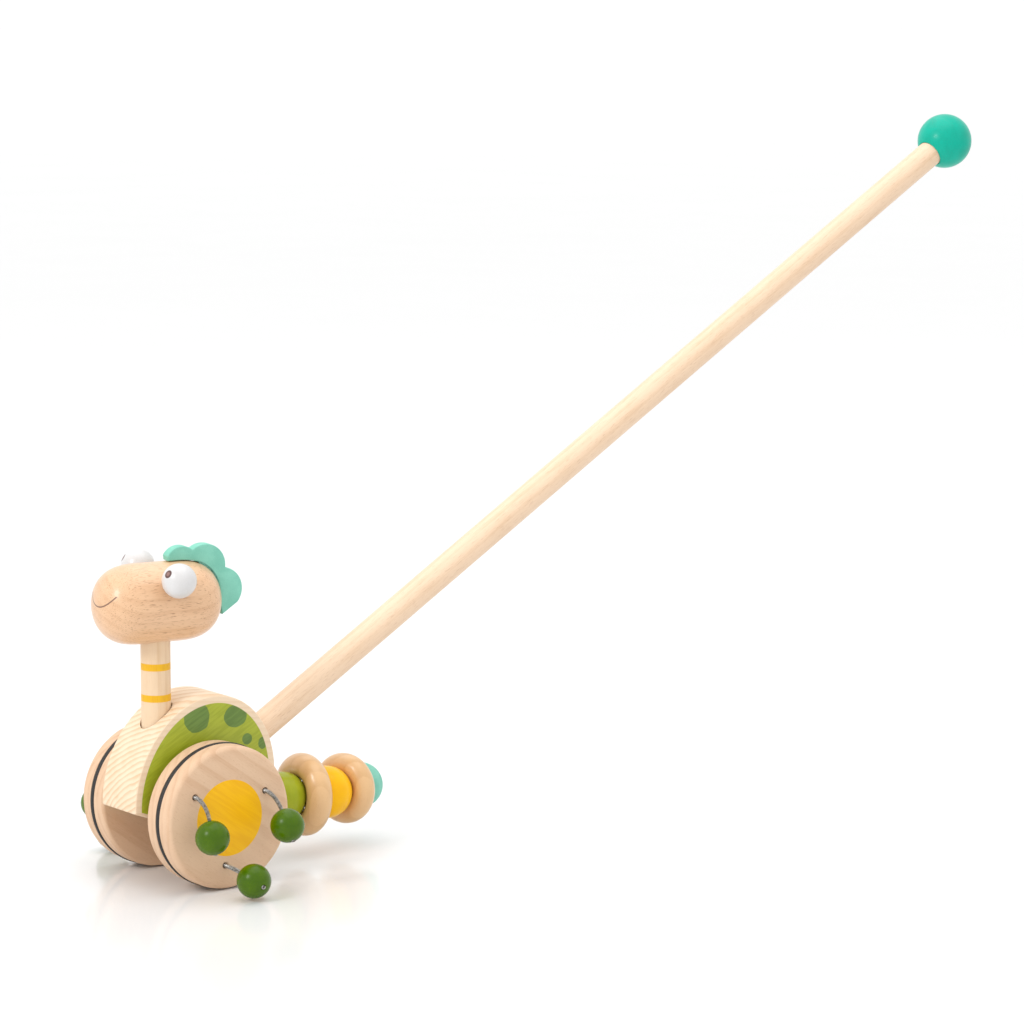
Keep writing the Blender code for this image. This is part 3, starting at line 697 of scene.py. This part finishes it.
def makeLeg(side, sign, name, angle, bend):
    mouth, bend = legMouth(sign, angle), math.radians(bend)
    legBody = f"leg_{side}_{name}"
    end = leg["length"] + 2 * leg["ball"] + leg["gap"]
    path, ahead, aside = legPath(sign, bend, -leg["root"], end)
    turns = (end + leg["root"]) / leg["pitch"]
    winding = coil(path + mouth, ahead, aside, leg["coil"] - leg["wire"], leg["wire"], leg["pitch"],
                   int(turns * 16))
    spring = makePiece(f"leg spring {side} {name}", [winding], steel,
                       [f"leg_spring_{side}_{name}"])
    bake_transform(spring)
    ballAt = leg["length"] + leg["ball"]
    middle, heading, _ = legPath(sign, bend, ballAt, ballAt + 0.001, 2)
    bore = leg["coil"] + leg["gap"]
    top = math.degrees(math.acos(bore / leg["ball"]))
    profile = [arc((0, 0), leg["ball"], top, -top, 64)]
    centre = mouth + middle[0]
    makePiece(f"leg ball {side} {name}", [turned(profile, centre, heading[0], 80, True)],
              paintFinish(f"dark green paint {side} {name}", "darkGreen", centre),
              [f"leg_ball_{side}_{name}"], legBody)


def makeCamParts():
    beech = woodFinish("cam beech", "beech", axle, (0, 0.8, 0.6), (0.05, 0.01), 9.0)
    radius, half = cam["radius"], cam["half"]
    disc = turned([[(0, half), (radius, half), (radius, -half), (0, -half)]],
                  axle + np.array((0, 0, cam["offset"])), (1, 0, 0), 96)
    makePiece("lifting cam", [disc], beech, ["lifting_cam"], "wheels", sharp=30)
    frame["nodes"]["axle"].data.materials.clear()
    frame["nodes"]["axle"].data.materials.append(beech)


for sideName, sideSign in sides.items():
    makeWheel(sideName, sideSign)
    for legName, (legAngle, legBends) in legs.items():
        makeLeg(sideName, sideSign, legName, legAngle, legBends[sideName])
makeCamParts()
print("wheels and legs made")

head = {"height": 0.1148, "radius": 0.0231, "half": 0.0362, "back": 0.0010, "yaw": math.radians(-9.2),
        "full": 3.7, "soft": 2.1, "waist": 0.0010, "neck": 0.0082, "foot": 0.0105,
        "eye": 0.0095, "eyePlace": (0.0282, 0.0023, 0.0158), "look": (0.29, -0.812, 0.505), "pupil": 0.0024,
        "smile": (0.0042, 0.0132), "smileRadius": 0.0122, "smileEnd": -0.0056, "smileLine": 0.00038}
bands = ((0.1005, 0.1044), (0.1178, 0.1217))  # heights of the neck's yellow stripes
neckTop = axle + np.array((0, -body["neckForward"], head["height"]))


def fromHead(across, behind, above):
    # from the head's middle over the neck, turned with the head
    cosine, sine = math.cos(head["yaw"]), math.sin(head["yaw"])
    x, y = across * cosine - behind * sine, across * sine + behind * cosine
    return np.stack([neckTop[0] + x, neckTop[1] + y, neckTop[2] + above], -1)


headWay = fromHead(0.0, 1.0, 0.0) - neckTop
headMiddle = fromHead(0.0, head["back"], 0.0)


def headRadius(along):
    # radius = most * (1 - t^full)^(1 / soft) less a waist that fades as cos^2 to the ends
    t = np.clip(np.abs(along) / head["half"], 0, 1)
    waist = head["waist"] * np.cos(0.5 * math.pi * t) ** 2
    return np.clip(head["radius"] * (1 - t ** head["full"]) ** (1 / head["soft"]) - waist, 0, None)


def headFinish():
    # varnished beech with a thin brown smile: a circle's lower arc, seen from the front
    finish = Finish("varnished beech head")
    color, height = woodGrain(finish, "headBeech", headMiddle, tuple(headWay), (0.030, -0.062), 2.0)
    x, y, z = finish.parts(finish.coords(headMiddle, (0, 0, head["yaw"])))
    x, z = x - head["smile"][0], z - head["smile"][1]
    off = abs((x ** 2 + z ** 2).root() - head["smileRadius"])
    line = 1 - finish.rise(off, head["smileLine"] - 0.0001, head["smileLine"] + 0.0001)
    line = line * z.under(head["smileEnd"]) * y.under(-0.02)
    return finish.wear(
        base_color=finish.mix(line * 0.85, color, tint(96, 62, 50)),
        roughness=height * 0.08 + 0.36,
        coat_weight=0.45,
        coat_roughness=0.2,
        normal=finish.bump(height, 0.00003),
    )


def neckFinish():
    # pale wood with two yellow stripes between given heights
    finish = Finish("striped neck")
    color, height = woodGrain(finish, "pale", neckTop, (0, 0, 1), (0.016, 0.006), 4.0)
    z = finish.parts(finish.coords((0, 0, 0)))[2]
    stripes = None
    soft = 0.0001
    for low, high in bands:
        stripe = finish.rise(z, low - soft, low + soft) * (1 - finish.rise(z, high - soft, high + soft))
        stripes = stripe if stripes is None else stripes + stripe
    yellow = finish.mix(finish.rise(height, 0.1, 0.5), tint(232, 178, 6), tint(222, 164, 0))
    return finish.wear(base_color=finish.mix(stripes, color, yellow), roughness=0.42 + height * 0.06,
                       normal=finish.bump(height, 0.00002))


def eyeFinish(side, sign, centre):
    # white, with a brown ring round a lighter middle where the eye looks
    finish = Finish(f"white eye {side}")
    place = finish.coords(centre, (0, 0, head["yaw"]))
    color, height = paintCoat(finish, "white", place)
    look = tuple(np.array(asUnit((sign * head["look"][0], head["look"][1], head["look"][2]))) * head["eye"])
    off = finish.add("ShaderNodeVectorMath", {"operation": "DISTANCE"}, {0: place, 1: look}, "Value")
    ring = 1 - finish.rise(off, head["pupil"] - 0.00025, head["pupil"] + 0.0001)
    core = 1 - finish.rise(off, head["pupil"] * 0.35, head["pupil"] * 0.62)
    color = finish.mix(ring, color, tint(84, 50, 44))
    color = finish.mix(core * 0.75, color, tint(150, 112, 104))
    return finish.wear(base_color=color, roughness=height * 0.05 + 0.26, coat_weight=0.4,
                       coat_roughness=0.1, normal=finish.bump(height, 0.00001))


crest = {"lobes": ((0.0139, 0.0204, 0.0098), (0.0278, 0.0183, 0.0121), (0.0376, 0.0045, 0.0122)),
         "front": 78, "last": -4, "tip": (0.0376, -0.0096), "gap": 0.0004, "half": 0.0035, "edge": 0.0006,
         "follow": 0.9995, "heel": (0.0003, 0.004)}


def crestOutline():
    # outer line: the farthest lobe in each direction from the head's middle; inner line: just off the head
    angle = np.radians(np.linspace(crest["front"], crest["last"], 260))
    reach = np.zeros_like(angle)
    for y, z, radius in crest["lobes"]:
        along = y * np.cos(angle) + z * np.sin(angle)
        inside = radius ** 2 - (y * y + z * z) + along ** 2
        reach = np.maximum(reach, np.where(inside > 0, along + np.sqrt(np.clip(inside, 0, None)), 0))
    outer = np.stack([reach * np.cos(angle), reach * np.sin(angle)], 1)
    along = head["half"] * crest["follow"] * np.sin(np.radians(np.linspace(0, 90, 120)))
    step = 1e-5
    slope = (headRadius(along + step) - headRadius(along - step)) / (2 * step)
    away = asUnit(np.stack([-slope, np.ones_like(slope)], 1))
    inner = np.stack([along, headRadius(along)], 1) + away * crest["gap"]
    inner = inner[inner[:, 0] > outer[0, 0]]
    back = head["half"] + crest["gap"]
    heel = (back - crest["heel"][0], -crest["heel"][1])
    return np.vstack([outer, [crest["tip"]], [heel, (back, 0.0)], inner[::-1]])


def makeHead():
    t = np.cos(np.linspace(0, math.pi, 150))
    profile = np.stack([headRadius(t * head["half"]), t * head["half"]], 1)
    makePiece("beech head", [turned([profile], headMiddle, headWay, 128)], headFinish(),
              ["head"], "head")
    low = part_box("neck")[0].z - neckTop[2]
    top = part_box("neck")[1].z - neckTop[2]
    profile = [(0, low), *[(head["neck"], s) for s in np.linspace(low, top, 30)], (0, top)]
    makePiece("neck", [turned(profile, neckTop, (0, 0, 1), 72)], neckFinish(), ["neck"], "head")
    foot = [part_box("neck_foot")[k].z - neckTop[2] for k in (0, 1)]
    wide = head["foot"]
    profile = [(0, foot[0]), (wide, foot[0]), (wide, foot[1]), (0, foot[1])]
    makePiece("neck foot", [turned(profile, neckTop, (0, 0, 1), 64)],
              woodFinish("foot beech", "beech", neckTop, (1, 0, 0), (0.03, 0.02), 6.0),
              ["neck_foot"], "neck_lift")
    makePiece("scalloped crest",
              [slab(crestOutline(), crest["half"], crest["edge"], 0.0003,
                    lambda a, b, c: fromHead(a, b + head["back"], c))],
              paintFinish("mint paint", "mint", headMiddle), ["crest"], "head")
    for side, sign in sides.items():
        x, y, z = head["eyePlace"]
        centre = fromHead(sign * x, y, z)
        outward = asUnit(centre - fromHead(0.0, y, 0.0))
        profile = arc((0, 0), head["eye"], 90, -90, 90)
        makePiece(f"eye {side}", [turned([profile], centre, outward, 96)], eyeFinish(side, sign, centre),
                  [f"eye_{side}"], "head")
        peg = frame["nodes"][f"eye_peg_{side}"]
        peg.data.materials.clear()
        beech = woodFinish(f"peg beech {side}", "beech", centre, outward, (0.01, 0.01), 7.0)
        peg.data.materials.append(beech)


makeHead()
print("head made")

# each bead: radius, radius of its hole, how much wider the hole is behind and in front, its paint
tail = {
    "turn": math.radians(17),  # from the yellow bead back, the tail bends to the toy's right
    "beads": {
        "green": (0.0139, 0.0028, 0.0, 0.0, "lime"),
        "yellow": (0.0149, 0.0038, 0.0032, 0.0034, "yellow"),
        "mint": (0.0130, 0.0028, 0.0, 0.0, "mint"),
    },
    "rings": {"front": (0.0162, 0.0073), "rear": (0.0136, 0.0066)},
    "flare": 0.25,  # share of a bead's radius where its hole begins to open out
    # the spring's stretches: where each starts or stops, and two pairs of places along its way
    "root": -0.022,
    "bend": -0.0010,
    "stop": 0.0026,
    "begin": 0.0003,
    "rootBlend": (-0.0035, -0.0012),
    "frontBlend": (-0.0002, 0.0022),
    "coil": 0.0022,
    "wire": 0.00042,
    "pitch": 0.00088,
}
tipWay = np.array((-math.sin(tail["turn"]) * tailWay[1], math.cos(tail["turn"]) * tailWay[1], tailWay[2]))
tailBend, tipBend = (np.array(joints[name]["pos_m"]) for name in ("tail_wag", "tail_tip_wag"))


def onTail(node, ahead, start):
    # the middle of a piece, brought onto the tail's line
    return start + ahead * ((middleOf(node) - start) @ ahead)


def makeBead(color, ahead, start, rider):
    # a ball less its hole, whose mouths open out as cones from a share of the radius to the surface
    radius, bore, behind, before, paint = tail["beads"][color]
    top = math.degrees(math.acos((bore + behind) / radius))
    bottom = math.degrees(math.acos((bore + before) / radius))
    corner = radius * tail["flare"]
    profile = [arc((0, 0), radius, top, -bottom, 80), [(bore, -corner), (bore, corner)]]
    centre = onTail(f"tail_bead_{color}", ahead, start)
    makePiece(f"{color} bead", [turned(profile, centre, ahead, 96, True)],
              paintFinish(f"{paint} bead paint", paint, centre),
              [f"tail_bead_{color}"], rider)


def makeRing(name, ahead, start):
    # a circle's section carried round the tail
    circle, section = tail["rings"][name]
    centre = onTail(f"tail_ring_{name}", ahead, start)
    material = woodFinish(f"lacquered beech {name}", "lacquered", centre, (0.2, 0.1, 1), (0.035, 0.022),
                          1.5, 0.3, 0.5)
    profile = arc((circle, 0), section, 0, 352.5, 48)
    makePiece(f"beech ring {name}", [turned([profile], centre, ahead, 128, True)], material,
              [f"tail_ring_{name}"], f"{name}_ring")


def tailCoil(name, origin, way, start, end, nodes, rider=None, between=None):
    # a straight stretch of the tail's spring, from one distance along its way to another
    s = np.linspace(start, end, 12)[:, None]
    ahead, aside, _ = basisFor(way)
    stations = int((end - start) / tail["pitch"] * 24)
    shape = coil(origin + s * ahead, np.repeat(ahead[None], 12, 0), np.repeat(aside[None], 12, 0),
                 tail["coil"] - tail["wire"], tail["wire"], tail["pitch"], stations, 8)
    piece = makePiece(name, [shape], steel, nodes, rider)
    if between:
        first, second, near, far = between
        origin + near * ahead
        origin + far * ahead
        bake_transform(piece)


def makeTail():
    way = np.array(tailWay)
    makeBead("green", way, tailBend, "green_bead")
    makeBead("yellow", tipWay, tipBend, "yellow_bead")
    makeBead("mint", tipWay, tipBend, "tail_tip")
    makeRing("front", way, tailBend)
    makeRing("rear", tipWay, tipBend)
    middle = float((tipBend - tailBend) @ way)
    mint = float((middleOf("tail_bead_mint") - tipBend) @ tipWay)
    last = mint + tail["beads"]["mint"][0] - tail["coil"] / 2
    root, bend, stop, begin = tail["root"], tail["bend"], tail["stop"], tail["begin"]
    tailCoil("tail spring root", tailBend, way, root, bend, ["tail_spring_anchor"], None,
             ("body", "tail_root", *tail["rootBlend"]))
    tailCoil("tail spring bend", tailBend, way, bend, middle - stop,
             ["tail_spring_bend", "tail_spring_front"], None,
             ("tail_root", "tail_front", *tail["frontBlend"]))
    tailCoil("tail spring end", tipBend, tipWay, begin, last, ["tail_spring_rear"], "tail_tip")


makeTail()
print("tail made")

studio = {"sky": 1.08, "floor": 0.8, "floorRough": 0.14}


def makeFloor():
    # a wide white floor, smooth enough for a faint reflection
    finish = Finish("white floor")
    place = finish.coords((0, 0, 0))
    haze = finish.noise(place, (0.3, 0.3, 0.3), 2.0)
    material = finish.wear(
        base_color=finish.mix(haze, (studio["floor"],) * 3, (studio["floor"] + 0.01,) * 3),
        roughness=haze * 0.02 + studio["floorRough"],
        specular_ior_level=0.3,
    )
    profile = [(0.0, 0.0), (0.5, 0.0), (2.0, 0.0), (14.0, 0.0)]
    floor = newObject("floor", [turned(profile, (0, 0, 0), (0, 0, 1), 64)])
    floor.data.materials.append(material)


def makeLight(name, place, target, size, power):
    data = bpy.data.lights.new(name, "AREA")
    data.shape, data.size, data.size_y = "RECTANGLE", *size
    data.energy = power
    light = bpy.data.objects.new(name, data)
    light.location = place
    light.rotation_euler = (Vector(target) - Vector(place)).to_track_quat("-Z", "Y").to_euler()
    bpy.context.scene.collection.objects.link(light)


def makeSky():
    world = bpy.data.worlds.new("white room")
    bpy.context.scene.world = world
    world.use_nodes = True
    background = world.node_tree.nodes["Background"]
    background.inputs["Color"].default_value = (1, 1, 1, 1)
    background.inputs["Strength"].default_value = studio["sky"]


def makeCamera():
    # looks from the toy's left front, a little above it, through a long lens
    around, above, roll = (math.radians(a) for a in (52.341654, 8.812171, 0.068091))
    level = math.cos(above)
    back = Vector((math.sin(around) * level, -math.cos(around) * level, math.sin(above)))
    target = Vector((axle[0] + 0.041214, axle[1] + 0.195962, 0.189523))
    side = Vector((math.cos(around), math.sin(around), 0))
    up = back.cross(side)
    right = side * math.cos(roll) + up * math.sin(roll)
    top = up * math.cos(roll) - side * math.sin(roll)
    turn = Matrix((right, top, back)).transposed()
    data = bpy.data.cameras.new("camera")
    data.sensor_width, data.lens = 36.0, 140.357
    data.clip_start, data.clip_end = 0.05, 60.0
    camera = bpy.data.objects.new("camera", data)
    camera.matrix_world = Matrix.Translation(target + back * 2.268036) @ turn.to_4x4()
    bpy.context.scene.collection.objects.link(camera)
    bpy.context.scene.camera = camera


makeFloor()
makeSky()
makeLight("key", (0.2, -1.9, 1.3), (0, -0.1, 0.08), (0.6, 0.6), 13)
makeLight("top", (-0.2, 0.0, 1.8), (0, 0, 0.1), (1.6, 2.2), 12)
makeCamera()
bpy.context.scene.view_settings.view_transform = "Standard"
print("stage ready")
